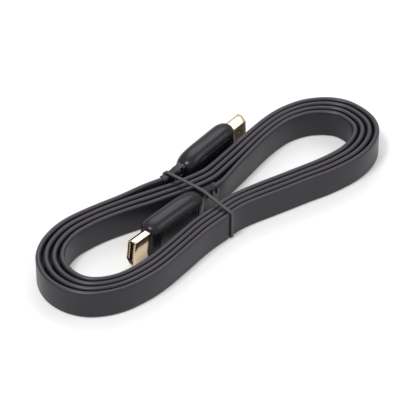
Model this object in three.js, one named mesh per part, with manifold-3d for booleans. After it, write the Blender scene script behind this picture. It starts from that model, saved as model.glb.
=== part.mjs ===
// A flat audio/video cable: wound on edge into a long hank of four turns, with a plug at each end
// and a thin tie round the waist. Millimetres, +Z up, the long axis of the hank along X.
import * as THREE from 'three';
import { mergeVertices } from 'three/addons/utils/BufferGeometryUtils.js';
import Module from 'manifold-3d';

const wasm = await Module();
wasm.setup();

// Cable and hank
const CABLE_WIDTH = 13.5;
const CABLE_THICK = 2.2;
const TURNS = 4;
const CLEAR = 0.3;

// Tie round the waist: a flat strap in an upright plane, its lowest face just off the floor
const TIE_WIDTH = 1.5;
const TIE_THICK = 0.8;
const TIE_OFF_FLOOR = 0.15;
const TIE_ANGLE = -71;
const TIE_BEHIND_GRIP = 1.3;

// Metal shell of a plug: one wide side, two straight sides and a chamfer to the narrow side
const SHELL_WIDE = 13.9;
const SHELL_CHAMFER = 1.95;
const SHELL_DEEP = 4.45;
const SHELL_SIDE = 2.48;
const SHELL_OUT = 8.9;
const SHELL_WALL = 0.35;
const SHELL_CORNER = 0.45;

// Insulator, its tongue slot and the contacts in two rows
const INSERT_CLEAR = 0.25;
const INSERT_BACK = 0.4;
const SLOT_DEEP = 6.5;
const SLOT_THICK = 2.0;
const SLOT_MARGIN = 1.75;
const CONTACT_MARGIN = 2.45;
const CONTACT_WIDE = 0.4;
const CONTACT_THICK = 0.25;
const CONTACT_BACK = 0.5;
const CONTACTS_WIDE_SIDE = 10;
const CONTACTS_NARROW_SIDE = 9;
const CONTACT_PITCH = (SHELL_WIDE - 2 * CONTACT_MARGIN) / (Math.round(CONTACTS_WIDE_SIDE) - 1);

// Moulded grip: flat sides under an arched top and bottom, all rounding off towards both ends
const GRIP_LENGTH = 32;
const GRIP_HIGH = 18.6;
const GRIP_THICK = 9.5;
const GRIP_ARCH = { side: 4.4, high: 2.6 };
const FRONT_ROUND = { high: 6.8, highDrop: 1.75, side: 4.3, sideDrop: 2.3 };
const REAR_ROUND = { high: 12.6, highDrop: 3.2, side: 5.8, sideDrop: 1.9 };

// Strain relief behind the grip: ribs with grooves between, bent and drooping to the cable
const RELIEF_LENGTH = 11.4;
const RELIEF_HIGH = CABLE_WIDTH + 0.4;
const RELIEF_THICK = CABLE_THICK + 2.4;
const RELIEF_RIBS = 4;
const RELIEF_GROOVE = 0.6;
const RELIEF_GROOVE_SHARE = 0.36;
const RELIEF_TAPER = 0.1;
const RELIEF_CORNER = { side: 1.1, high: 1.1 };

// Where the two plugs lie: the back end of the grip, the way the plug points and its lean, in
// degrees, with the bend of the strain relief in degrees and how far its end droops
const PLUG_A = { x: -7.4, y: -4.86, heading: 198, lean: -6, bend: 3, droop: 2.3 };
const PLUG_B = { x: -4.25, y: 14.05, heading: 21.9, lean: -2.6, bend: -21, droop: 1.5 };

// First turn of the cable's middle line with the step outward to the next turn: x, y, step.
// It starts beside plug A at the back of the waist and goes round the right loop first.
const FIRST_TURN = [
  [0, -0.45, 3.05], [6.5, 0.9, 2.95], [13.5, 4.0, 2.8], [25.5, 9.8, 2.65], [36.8, 15.5, 2.4],
  [46.1, 19.2, 2.4], [52.3, 20.7, 2.45], [57.7, 20.8, 2.6], [62.9, 19.9, 2.8], [68.9, 17.0, 3.0],
  [72.6, 13.6, 3.05], [74.5, 8.4, 3.1], [74.9, 3.6, 3.1], [73.2, -0.2, 3.1], [69.3, -3.9, 3.0],
  [63.5, -6.9, 2.85], [56.6, -8.5, 2.75], [48.6, -9.3, 2.7], [40.5, -9.5, 2.6], [30.5, -9.7, 2.6],
  [20.6, -9.8, 2.6], [11.5, -10.2, 2.5], [3.2, -11.2, 2.45], [-4.9, -13.7, 2.45],
  [-15.5, -16.9, 2.45], [-28.7, -22.4, 2.45], [-40.3, -27.0, 2.5], [-46.5, -28.8, 2.55],
  [-52.8, -30.0, 2.55], [-57.9, -30.4, 2.6], [-62.3, -29.9, 2.7],
  [-66.5, -28.6, 2.8], [-70.4, -26.3, 2.95], [-73.4, -22.1, 3.2], [-74.8, -16.2, 3.4],
  [-74.0, -9.9, 3.35], [-71.1, -5.2, 3.2], [-66.4, -1.4, 3.05], [-61.6, 0.9, 2.95],
  [-56.2, 2.1, 2.9], [-50.8, 2.9, 2.8], [-45.8, 3.2, 2.8], [-41.1, 3.2, 2.85], [-33.0, 2.9, 3.0],
  [-26.4, 2.4, 3.15], [-19.5, 2.3, 3.05],
  [-12.0, 2.2, 2.93], [0, 2.6, 3.05],
];
const CURVE_STEPS = 110;

const shade = (name, color, roughness, metalness) =>
  new THREE.MeshStandardMaterial({ name, color, roughness, metalness });
const BLACK_JACKET = shade('jacket', 0x1c1c1e, 0.42, 0);
const BLACK_MOULDING = shade('moulding', 0x161617, 0.45, 0);
const BLACK_TIE = shade('tie', 0x141414, 0.5, 0);
const PALE_GOLD = shade('shell', 0xd9c08a, 0.25, 1);
const GOLD = shade('contact', 0xd4af5a, 0.3, 1);
const DARK_INSERT = shade('insert', 0x101010, 0.6, 0);

const part = new THREE.Group();

function addPiece(group, name, geometry, material) {
  const piece = new THREE.Mesh(geometry, material);
  piece.name = name;
  group.add(piece);
  return piece;
}

// The step outward to the next turn is carried as the third value of the smooth curve.
const turnCurve = new THREE.CatmullRomCurve3(
  FIRST_TURN.map(([x, y, step]) => new THREE.Vector3(x, y, step)), false, 'centripetal');

function turnPoint(turn, along, side) {
  const here = turnCurve.getPoint(along);
  const tangent = turnCurve.getTangent(along);
  const ends = new THREE.Vector2(tangent.x, tangent.y).normalize();
  if (along < 0.01 || along > 0.99) ends.set(1, 0.06).normalize();
  const out = new THREE.Vector2(-ends.y, ends.x);
  const reach = turn * here.z + side * CABLE_THICK / 2;
  return new THREE.Vector2(here.x + out.x * reach, here.y + out.y * reach);
}

// Edge of the hank along one turn, from one position to another
function turnEdge(fromTurn, from, to, side) {
  const points = [];
  const count = Math.max(2, Math.round((to - from) * CURVE_STEPS));
  for (let i = 0; i <= count; i += 1) {
    const along = from + (to - from) * i / count;
    points.push(turnPoint(fromTurn, along, side));
  }
  return points;
}

function solidOf(geometry) {
  const bare = geometry.clone();
  bare.deleteAttribute('normal');
  bare.deleteAttribute('uv');
  const merged = mergeVertices(bare, 1e-4);
  return new wasm.Manifold(new wasm.Mesh({
    numProp: 3,
    vertProperties: Float32Array.from(merged.attributes.position.array),
    triVerts: Uint32Array.from(merged.index.array),
  }));
}

function geometryOf(solid) {
  const mesh = solid.getMesh();
  const geometry = new THREE.BufferGeometry();
  const points = new Float32Array(mesh.numVert * 3);
  for (let i = 0; i < mesh.numVert; i += 1) {
    for (let k = 0; k < 3; k += 1) points[i * 3 + k] = mesh.vertProperties[i * mesh.numProp + k];
  }
  geometry.setAttribute('position', new THREE.BufferAttribute(points, 3));
  geometry.setIndex(Array.from(mesh.triVerts));
  geometry.computeVertexNormals();
  return geometry;
}

// A closed solid through rings that have the same number of points
function loft(rings) {
  const positions = [];
  const index = [];
  const count = rings[0].length;
  rings.forEach((ring) => ring.forEach((p) => positions.push(p.x, p.y, p.z)));
  for (let r = 0; r < rings.length - 1; r += 1) {
    for (let i = 0; i < count; i += 1) {
      const a = r * count + i;
      const b = r * count + (i + 1) % count;
      index.push(a, b, b + count, a, b + count, a + count);
    }
  }
  const cap = (ring, base, flip) => {
    const middle = new THREE.Vector3();
    ring.forEach((p) => middle.add(p));
    middle.divideScalar(count);
    const centre = positions.length / 3;
    positions.push(middle.x, middle.y, middle.z);
    for (let i = 0; i < count; i += 1) {
      const a = base + i;
      const b = base + (i + 1) % count;
      if (flip) index.push(centre, b, a);
      else index.push(centre, a, b);
    }
  };
  cap(rings[0], 0, true);
  cap(rings[rings.length - 1], (rings.length - 1) * count, false);
  const geometry = new THREE.BufferGeometry();
  geometry.setAttribute('position', new THREE.Float32BufferAttribute(positions, 3));
  geometry.setIndex(index);
  geometry.computeVertexNormals();
  return geometry;
}

// A ring across a plug at x: a rectangle with round or arched corners, given by its half sizes
function plugRing(x, halfThick, halfHigh, corner) {
  const side = Math.min(corner.side, halfThick * 0.95);
  const high = Math.min(corner.high, halfHigh * 0.95);
  const ring = [];
  const centres = [[1, 1], [-1, 1], [-1, -1], [1, -1]];
  centres.forEach(([sy, sz], q) => {
    for (let i = 0; i <= 4; i += 1) {
      const turn = (q + i / 4) * Math.PI / 2;
      ring.push(new THREE.Vector3(x, sy * (halfThick - side) + side * Math.cos(turn),
        sz * (halfHigh - high) + high * Math.sin(turn)));
    }
  });
  return ring;
}

// How much a round end takes off at a distance from that end
function roundOff(distance, length, drop) {
  if (distance >= length) return 0;
  const share = 1 - distance / length;
  return drop * (1 - Math.sqrt(Math.max(0, 1 - share * share)));
}

// Bends a ring of the strain relief: it lies a distance behind the grip
function bendRing(ring, behind, place) {
  const share = behind / RELIEF_LENGTH;
  const bend = THREE.MathUtils.degToRad(place.bend);
  const radius = RELIEF_LENGTH / bend;
  const turn = bend * share;
  const x = -GRIP_LENGTH - radius * Math.sin(turn);
  const y = -radius * (1 - Math.cos(turn));
  const z = -place.droop * share * share * (3 - 2 * share);
  ring.forEach((p) => {
    const side = p.y;
    p.set(x - side * Math.sin(turn), y + side * Math.cos(turn), p.z + z);
  });
  return ring;
}

// Moulded grip with its ribbed strain relief, one solid from the back end forward
function gripGeometry(place) {
  const rings = [];
  const ribStep = RELIEF_LENGTH / (RELIEF_RIBS - RELIEF_GROOVE_SHARE);
  const addRelief = (behind, depth) => {
    const shrink = 1 - RELIEF_TAPER * behind / RELIEF_LENGTH;
    const ring = plugRing(0, RELIEF_THICK / 2 * shrink - depth,
      RELIEF_HIGH / 2 - depth * 0.5, RELIEF_CORNER);
    rings.push(bendRing(ring, behind, place));
  };
  for (let rib = RELIEF_RIBS - 1; rib >= 0; rib -= 1) {
    const back = RELIEF_LENGTH - (RELIEF_RIBS - 1 - rib) * ribStep;
    const front = back - ribStep * (1 - RELIEF_GROOVE_SHARE);
    addRelief(back, 0);
    addRelief(rib > 0 ? front : 0.15, 0);
    if (rib > 0) {
      addRelief(front - CLEAR / 2, RELIEF_GROOVE);
      addRelief(back - ribStep + CLEAR / 2, RELIEF_GROOVE);
    }
  }
  const shares = [0, 0.04, 0.14, 0.3, 0.55, 1];
  const stops = [
    ...shares.map((k) => -GRIP_LENGTH + k * REAR_ROUND.high),
    ...shares.map((k) => -k * FRONT_ROUND.high).reverse(),
  ];
  stops.forEach((x) => {
    const fromBack = GRIP_LENGTH + x;
    const high = GRIP_HIGH / 2 - roundOff(-x, FRONT_ROUND.high, FRONT_ROUND.highDrop)
      - roundOff(fromBack, REAR_ROUND.high, REAR_ROUND.highDrop);
    const thick = GRIP_THICK / 2 - roundOff(-x, FRONT_ROUND.side, FRONT_ROUND.sideDrop)
      - roundOff(fromBack, REAR_ROUND.side, REAR_ROUND.sideDrop);
    rings.push(plugRing(x, thick, high, GRIP_ARCH));
  });
  return loft(rings);
}

// Outline of the metal shell, pulled in by an inset: the wide side lies at +Y, width runs along Z
function shellOutline(inset) {
  const wide = SHELL_WIDE / 2 - inset;
  const narrow = SHELL_WIDE / 2 - SHELL_CHAMFER - inset * 0.5;
  const back = SHELL_DEEP / 2 - inset;
  const bend = SHELL_DEEP / 2 - SHELL_SIDE;
  const c = SHELL_CORNER;
  return [
    [back, -wide + c], [back, wide - c], [back - c, wide], [bend, wide], [-back, narrow],
    [-back, -narrow], [bend, -wide], [back - c, -wide],
  ].map(([y, z]) => new THREE.Vector2(y, z));
}

// An outline in Y and Z pushed out along X
function alongX(outline, hole, from, length) {
  const shape = new THREE.Shape(outline);
  if (hole) shape.holes.push(new THREE.Path(hole));
  const geometry = new THREE.ExtrudeGeometry(shape, { depth: length, bevelEnabled: false });
  geometry.applyMatrix4(new THREE.Matrix4().makeBasis(
    new THREE.Vector3(0, 1, 0), new THREE.Vector3(0, 0, 1), new THREE.Vector3(1, 0, 0)));
  geometry.translate(from, 0, 0);
  return geometry;
}

// How high the middle of a leaning plug lies when its grip touches the floor
function plugHeight(lean) {
  const angle = Math.abs(THREE.MathUtils.degToRad(lean));
  return (GRIP_THICK / 2 - GRIP_ARCH.side) * Math.sin(angle)
    + (GRIP_HIGH / 2 - GRIP_ARCH.high) * Math.cos(angle)
    + Math.hypot(GRIP_ARCH.side * Math.sin(angle), GRIP_ARCH.high * Math.cos(angle));
}

function addPlug(letter, place) {
  const plug = new THREE.Group();
  addPiece(plug, `plug_${letter}_grip`, gripGeometry(place), BLACK_MOULDING);
  addPiece(plug, `plug_${letter}_shell`,
    alongX(shellOutline(0), shellOutline(SHELL_WALL), CLEAR, SHELL_OUT - CLEAR), PALE_GOLD);

  const inset = SHELL_WALL + INSERT_CLEAR;
  const insertFront = SHELL_OUT - INSERT_BACK;
  const body = solidOf(alongX(shellOutline(inset), null, CLEAR, insertFront - CLEAR));
  const slotHalf = SHELL_WIDE / 2 - SLOT_MARGIN;
  const slot = new THREE.BoxGeometry(SLOT_DEEP + 1, SLOT_THICK, slotHalf * 2);
  const slotY = (SHELL_DEEP / 2 - SHELL_SIDE) / 2 + 0.15;
  slot.translate(insertFront - SLOT_DEEP / 2 + 0.5, slotY, 0);
  addPiece(plug, `plug_${letter}_insert`, geometryOf(body.subtract(solidOf(slot))), DARK_INSERT);

  const rows = [
    { count: Math.round(CONTACTS_WIDE_SIDE), side: 1 },
    { count: Math.round(CONTACTS_NARROW_SIDE), side: -1 },
  ];
  let number = 0;
  rows.forEach(({ count, side }) => {
    for (let i = 0; i < count; i += 1) {
      number += 1;
      const length = SLOT_DEEP - CONTACT_BACK - INSERT_CLEAR;
      const bar = new THREE.BoxGeometry(length, CONTACT_THICK, CONTACT_WIDE);
      const y = slotY + side * (SLOT_THICK / 2 - INSERT_CLEAR - CONTACT_THICK / 2);
      bar.translate(insertFront - CONTACT_BACK - length / 2, y, (i - (count - 1) / 2) * CONTACT_PITCH);
      addPiece(plug, `plug_${letter}_contact_${String(number).padStart(2, '0')}`, bar, GOLD);
    }
  });

  const angle = THREE.MathUtils.degToRad(place.heading);
  plug.rotation.set(THREE.MathUtils.degToRad(place.lean), 0, angle, 'ZYX');
  plug.position.set(
    place.x + GRIP_LENGTH * Math.cos(angle), place.y + GRIP_LENGTH * Math.sin(angle),
    plugHeight(place.lean));
  part.add(plug);
  return plug;
}

addPlug('a', PLUG_A);
addPlug('b', PLUG_B);

// A point on the middle line of a plug at a distance behind its grip
function plugPoint(place, behind) {
  const angle = THREE.MathUtils.degToRad(place.heading);
  const local = new THREE.Vector3(-GRIP_LENGTH - behind, 0, 0);
  if (behind > 0) bendRing([local.set(0, 0, 0)], behind, place);
  const forward = local.x + GRIP_LENGTH;
  return new THREE.Vector3(
    place.x + forward * Math.cos(angle) - local.y * Math.sin(angle),
    place.y + forward * Math.sin(angle) + local.y * Math.cos(angle),
    plugHeight(place.lean) + local.z);
}

// Position along the first turn's curve where x passes a value, searched between two positions
function alongAtX(x, from, to) {
  let low = from;
  let high = to;
  for (let i = 0; i < 40; i += 1) {
    const middle = (low + high) / 2;
    if (turnCurve.getPoint(middle).x < x) low = middle;
    else high = middle;
  }
  return (low + high) / 2;
}

// The hank: outer edge of the last turn, inner edge of the first, both ended at the plugs
const endA = plugPoint(PLUG_A, RELIEF_LENGTH);
const endB = plugPoint(PLUG_B, RELIEF_LENGTH);
const startAlong = alongAtX(endA.x + CLEAR + 0.6, 0, 0.1);
const stopAlong = alongAtX(endB.x - CLEAR - 0.6, 0.9, 1);
const outer = [
  ...turnEdge(TURNS - 2, stopAlong, 1, 1).slice(0, -1),
  ...turnEdge(TURNS - 1, 0, stopAlong, 1),
];
const inner = [
  ...turnEdge(0, startAlong, 1, -1),
  ...turnEdge(1, 0, startAlong, -1).slice(1),
];
const hankShape = new THREE.Shape(outer);
hankShape.holes.push(new THREE.Path(inner.reverse()));
const hankSolid = solidOf(
  new THREE.ExtrudeGeometry(hankShape, { depth: CABLE_WIDTH, bevelEnabled: false }));

// The tie's plane: distance along it grows from the front of the hank to its back
const tieAngle = THREE.MathUtils.degToRad(TIE_ANGLE + 180);
const tieAlong = new THREE.Vector2(Math.cos(tieAngle), Math.sin(tieAngle));
const tieAcross = new THREE.Vector2(tieAlong.y, -tieAlong.x);
const tieStart = plugPoint(PLUG_A, TIE_BEHIND_GRIP);
const offLine = (p) => (p.x - tieStart.x) * tieAcross.x + (p.y - tieStart.y) * tieAcross.y;
const onLine = (p) => (p.x - tieStart.x) * tieAlong.x + (p.y - tieStart.y) * tieAlong.y;

// Where the tie's plane cuts the edge of a turn, on the front (lowest) or back (highest) side
function tieMeets(points, front) {
  const cuts = [];
  points.forEach((p, i) => {
    const q = points[(i + 1) % points.length];
    const a = offLine(p);
    const b = offLine(q);
    if (a * b < 0) cuts.push(onLine(p) + (onLine(q) - onLine(p)) * a / (a - b));
  });
  return front ? Math.min(...cuts) : Math.max(...cuts);
}

// Where it crosses a plug, found by stepping back along the plug's middle line
function tieCrossing(place) {
  let best = null;
  for (let behind = -GRIP_THICK; behind <= RELIEF_LENGTH; behind += 0.25) {
    const point = plugPoint(place, behind);
    const off = Math.abs(offLine(point));
    if (!best || off < best.off) best = { off, point };
  }
  return { s: onLine(best.point), z: best.point.z };
}

// Rounded loop at a distance outside a closed convex polygon given in order
function loopOutside(corners, distance) {
  const loop = [];
  const steps = 3;
  corners.forEach((corner, i) => {
    const before = corners[(i + corners.length - 1) % corners.length];
    const after = corners[(i + 1) % corners.length];
    const first = Math.atan2(corner.y - before.y, corner.x - before.x) - Math.PI / 2;
    let second = Math.atan2(after.y - corner.y, after.x - corner.x) - Math.PI / 2;
    while (second < first) second += 2 * Math.PI;
    for (let k = 0; k <= steps; k += 1) {
      const turn = first + (second - first) * k / steps;
      loop.push(new THREE.Vector2(
        corner.x + distance * Math.cos(turn), corner.y + distance * Math.sin(turn)));
    }
  });
  return loop;
}

const crossA = tieCrossing(PLUG_A);
const crossB = tieCrossing(PLUG_B);
const frontEdge = tieMeets(outer, true);
const tieFloor = TIE_OFF_FLOOR + TIE_THICK + CLEAR;
const reliefHalf = { s: RELIEF_THICK / 2 * 1.06, z: RELIEF_HIGH / 2 };
const tieCorners = [
  [frontEdge, tieFloor], [crossB.s + reliefHalf.s, tieFloor],
  [crossB.s + reliefHalf.s, crossB.z + reliefHalf.z - RELIEF_CORNER.high],
  [crossB.s + reliefHalf.s - RELIEF_CORNER.side, crossB.z + reliefHalf.z],
  [crossA.s + reliefHalf.s, crossA.z + reliefHalf.z + CLEAR],
  [crossA.s - reliefHalf.s, crossA.z + reliefHalf.z + CLEAR],
  [frontEdge, CABLE_WIDTH],
].map(([x, y]) => new THREE.Vector2(x, y));
const tieShape = new THREE.Shape(loopOutside(tieCorners, CLEAR + TIE_THICK));
tieShape.holes.push(new THREE.Path(loopOutside(tieCorners, CLEAR)));
const tieFrame = new THREE.Matrix4().makeBasis(
  new THREE.Vector3(tieAlong.x, tieAlong.y, 0), new THREE.Vector3(0, 0, 1),
  new THREE.Vector3(tieAcross.x, tieAcross.y, 0));
tieFrame.setPosition(tieStart.x, tieStart.y, 0);
const tieGeometry = new THREE.ExtrudeGeometry(tieShape, { depth: TIE_WIDTH, bevelEnabled: false });
tieGeometry.translate(0, 0, -TIE_WIDTH / 2);
tieGeometry.applyMatrix4(tieFrame);

// Shallow notch under the hank that the tie runs through
const notchLength = 2 * (crossB.s - frontEdge + GRIP_THICK);
const notch = new THREE.BoxGeometry(notchLength, 2 * tieFloor, TIE_WIDTH + 2 * CLEAR);
notch.applyMatrix4(tieFrame);
addPiece(part, 'cable_hank', geometryOf(hankSolid.subtract(solidOf(notch))), BLACK_JACKET);
addPiece(part, 'tie', tieGeometry, BLACK_TIE);

// Centre the footprint on the origin and set the lowest point on z = 0.
part.updateMatrixWorld(true);
const box = new THREE.Box3().setFromObject(part, true);
part.position.set(-(box.min.x + box.max.x) / 2, -(box.min.y + box.max.y) / 2, -box.min.z);
part.updateMatrixWorld(true);

export default part;
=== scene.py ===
"""A flat audio and video cable wound on edge into a two-looped hank, dressed around its frame.

The cable, its two plugs and the tie are made here, each piece where the frame has its solid.
Sizes are in metres.
"""
import logging
import math
from dataclasses import dataclass, field
from enum import Enum
from typing import Any, Iterable, Sequence

import bmesh
import bpy
from mathutils import Matrix, Vector


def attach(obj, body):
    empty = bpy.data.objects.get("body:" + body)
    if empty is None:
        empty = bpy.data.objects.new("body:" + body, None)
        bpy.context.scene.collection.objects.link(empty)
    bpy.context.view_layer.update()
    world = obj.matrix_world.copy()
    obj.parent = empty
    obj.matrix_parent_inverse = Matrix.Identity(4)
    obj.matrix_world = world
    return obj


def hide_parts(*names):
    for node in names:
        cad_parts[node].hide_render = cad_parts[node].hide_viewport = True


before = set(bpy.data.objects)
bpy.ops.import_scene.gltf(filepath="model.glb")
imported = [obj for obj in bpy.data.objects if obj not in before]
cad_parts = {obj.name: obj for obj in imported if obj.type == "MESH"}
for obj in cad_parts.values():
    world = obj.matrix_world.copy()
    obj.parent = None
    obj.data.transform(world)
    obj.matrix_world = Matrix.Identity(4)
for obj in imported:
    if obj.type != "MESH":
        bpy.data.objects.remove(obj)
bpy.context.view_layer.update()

LOG = logging.getLogger("cable")
MM = 0.001

# From the frame that the route's points are chosen in to the frame of the part
PART_SHIFT = Vector((0.0003856, 0.0038347, 0.0))

Point = tuple[float, float, float]
Colour = tuple[float, float, float, float]


class Row(Enum):
    """The two rows of contacts in a plug, by the side of the shell that each lies near."""

    WIDE = 1
    NARROW = -1


class Letter(Enum):
    """The two plugs, by the letter in the names of their solids."""

    A = "a"
    B = "b"


class Slot(Enum):
    """The record's material slots."""

    JACKET = "jacket"
    MOULDING = "moulding"
    SHELL = "shell"
    CONTACT = "contact"
    INSERT = "insert"
    TIE = "tie"


def eased(share: float) -> float:
    """Return a share between 0 and 1, eased at both ends."""
    share = min(max(share, 0.0), 1.0)
    return share * share * (3 - 2 * share)


def round_off(distance: float, length: float, drop: float) -> float:
    """Tell how much a round end takes off at a distance from that end.

    Args:
        distance: distance from the end.
        length: how far the rounding reaches.
        drop: what it takes off at the end itself.

    Returns:
        What it takes off at the distance.
    """
    if distance >= length:
        return 0.0
    share = 1 - distance / length
    return drop * (1 - math.sqrt(max(0.0, 1 - share * share)))


class GeometryRecipe:
    """A geometry node tree with named inputs, built node by node."""

    KINDS = {float: "NodeSocketFloat", int: "NodeSocketInt", tuple: "NodeSocketVector"}

    def __init__(self, name: str, sizes: dict[str, Any]) -> None:
        """Start the tree.

        Args:
            name: name of the tree.
            sizes: the named inputs with their usual values.
        """
        self.tree = bpy.data.node_groups.new(name, "GeometryNodeTree")
        self.sizes = sizes
        self.keys: dict[str, str] = {}
        face = self.tree.interface
        face.new_socket(name="Geometry", in_out="INPUT", socket_type="NodeSocketGeometry")
        for label, value in sizes.items():
            socket = face.new_socket(
                name=label, in_out="INPUT", socket_type=self.KINDS[type(value)])
            self.keys[label] = socket.identifier
        socket = face.new_socket(
            name="Material", in_out="INPUT", socket_type="NodeSocketMaterial")
        self.keys["Material"] = socket.identifier
        face.new_socket(name="Geometry", in_out="OUTPUT", socket_type="NodeSocketGeometry")
        self.given = self.tree.nodes.new("NodeGroupInput")

    def input(self, label: str) -> bpy.types.NodeSocket:
        """Return the tree's own input of that name."""
        return self.given.outputs[label]

    def node(self, kind: str, settings: dict[str, Any] | None = None,
             inputs: dict[Any, Any] | None = None) -> bpy.types.NodeSocket:
        """Add a node.

        Args:
            kind: the node's type.
            settings: its own properties, set first.
            inputs: values or sockets for its inputs, by name or number.

        Returns:
            Its first output socket.
        """
        made = self.tree.nodes.new(kind)
        for key, value in (settings or {}).items():
            setattr(made, key, value)
        for key, value in (inputs or {}).items():
            if isinstance(value, bpy.types.NodeSocket):
                self.tree.links.new(value, made.inputs[key])
            else:
                made.inputs[key].default_value = value
        return made.outputs[0]

    def end(self, geometry: bpy.types.NodeSocket) -> None:
        """End the tree in Realize Instances and Set Material."""
        real = self.node("GeometryNodeRealizeInstances", inputs={"Geometry": geometry})
        dressed = self.node("GeometryNodeSetMaterial",
                            inputs={"Geometry": real, "Material": self.input("Material")})
        result = self.tree.nodes.new("NodeGroupOutput")
        self.tree.links.new(dressed, result.inputs["Geometry"])

    def made_from(self, source: bpy.types.Mesh, material: bpy.types.Material,
                  values: dict[str, Any]) -> bpy.types.Mesh:
        """Run the tree on a mesh.

        Args:
            source: the mesh that the tree starts from.
            material: what the result is made of.
            values: the inputs that differ from the usual ones.

        Returns:
            The result as a plain mesh.
        """
        carrier = bpy.data.objects.new(self.tree.name, source)
        bpy.context.scene.collection.objects.link(carrier)
        modifier = carrier.modifiers.new(self.tree.name, "NODES")
        modifier.node_group = self.tree
        for label, value in {**self.sizes, **values, "Material": material}.items():
            modifier[self.keys[label]] = value
        seen = carrier.evaluated_get(bpy.context.evaluated_depsgraph_get())
        plain = bpy.data.meshes.new_from_object(seen)
        bpy.data.objects.remove(carrier)
        bpy.data.meshes.remove(source)
        return plain


def band_recipe() -> GeometryRecipe:
    """Build the tree of a flat band with round edges along a line.

    The line's points carry the direction of the band's width as the attribute "across".

    Returns:
        The recipe.
    """
    recipe = GeometryRecipe(
        "band_along_line",
        {"Width": 13.5 * MM, "Thickness": 2.2 * MM, "Corner": 0.6 * MM, "Corner Steps": 4})
    line = recipe.node("GeometryNodeMeshToCurve", inputs={"Mesh": recipe.input("Geometry")})
    across = recipe.node("GeometryNodeInputNamedAttribute", {"data_type": "FLOAT_VECTOR"},
                         {"Name": "across"})
    turned = recipe.node("GeometryNodeSetCurveNormal", {"mode": "FREE"},
                         {"Curve": line, "Normal": across})
    block = recipe.node("GeometryNodeCurvePrimitiveQuadrilateral", inputs={
        "Width": recipe.input("Width"), "Height": recipe.input("Thickness")})
    outline = recipe.node("GeometryNodeFilletCurve", {"mode": "POLY"}, {
        "Curve": block, "Count": recipe.input("Corner Steps"), "Radius": recipe.input("Corner")})
    swept = recipe.node("GeometryNodeCurveToMesh", inputs={
        "Curve": turned, "Profile Curve": outline, "Fill Caps": True})
    recipe.end(swept)
    return recipe


def row_recipe() -> GeometryRecipe:
    """Build the tree that repeats a small piece in a row along Z.

    Returns:
        The recipe.
    """
    recipe = GeometryRecipe("row_of_pieces", {"Count": 10, "Pitch": 1.0 * MM})
    offset = recipe.node("ShaderNodeCombineXYZ", inputs={"Z": recipe.input("Pitch")})
    steps = recipe.node("ShaderNodeMath", {"operation": "SUBTRACT"},
                        {0: recipe.input("Count"), 1: 1.0})
    half = recipe.node("ShaderNodeMath", {"operation": "MULTIPLY"}, {0: steps, 1: -0.5})
    start = recipe.node("ShaderNodeVectorMath", {"operation": "SCALE"},
                        {"Vector": offset, "Scale": half})
    line = recipe.node("GeometryNodeMeshLine", inputs={
        "Count": recipe.input("Count"), "Start Location": start, "Offset": offset})
    row = recipe.node("GeometryNodeInstanceOnPoints", inputs={
        "Points": line, "Instance": recipe.input("Geometry")})
    recipe.end(row)
    return recipe


class Wire:
    """One output socket, with the sums of Python for the sums of a shader."""

    def __init__(self, bench: "Bench", socket: bpy.types.NodeSocket) -> None:
        """Wrap a socket that belongs to a bench."""
        self.bench = bench
        self.socket = socket

    def _sum(self, operation: str, first: Any, second: Any) -> "Wire":
        """Add a Math node with two operands."""
        return self.bench.node("ShaderNodeMath", {"operation": operation}, {0: first, 1: second})

    def __add__(self, other: Any) -> "Wire":
        """Return self + other."""
        return self._sum("ADD", self, other)

    __radd__ = __add__

    def __sub__(self, other: Any) -> "Wire":
        """Return self - other."""
        return self._sum("SUBTRACT", self, other)

    def __rsub__(self, other: Any) -> "Wire":
        """Return other - self."""
        return self._sum("SUBTRACT", other, self)

    def __mul__(self, other: Any) -> "Wire":
        """Return self * other."""
        return self._sum("MULTIPLY", self, other)

    __rmul__ = __mul__

    def __abs__(self) -> "Wire":
        """Return the value without its sign."""
        return self.bench.node("ShaderNodeMath", {"operation": "ABSOLUTE"}, {0: self})

    def sine(self) -> "Wire":
        """Return the sine of the value."""
        return self.bench.node("ShaderNodeMath", {"operation": "SINE"}, {0: self})

    def between(self, low: float, high: float) -> "Wire":
        """Return 0 below low and 1 above high, eased between them."""
        return self.bench.node(
            "ShaderNodeMapRange", {"interpolation_type": "SMOOTHSTEP", "clamp": True},
            {"Value": self, "From Min": low, "From Max": high})


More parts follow.
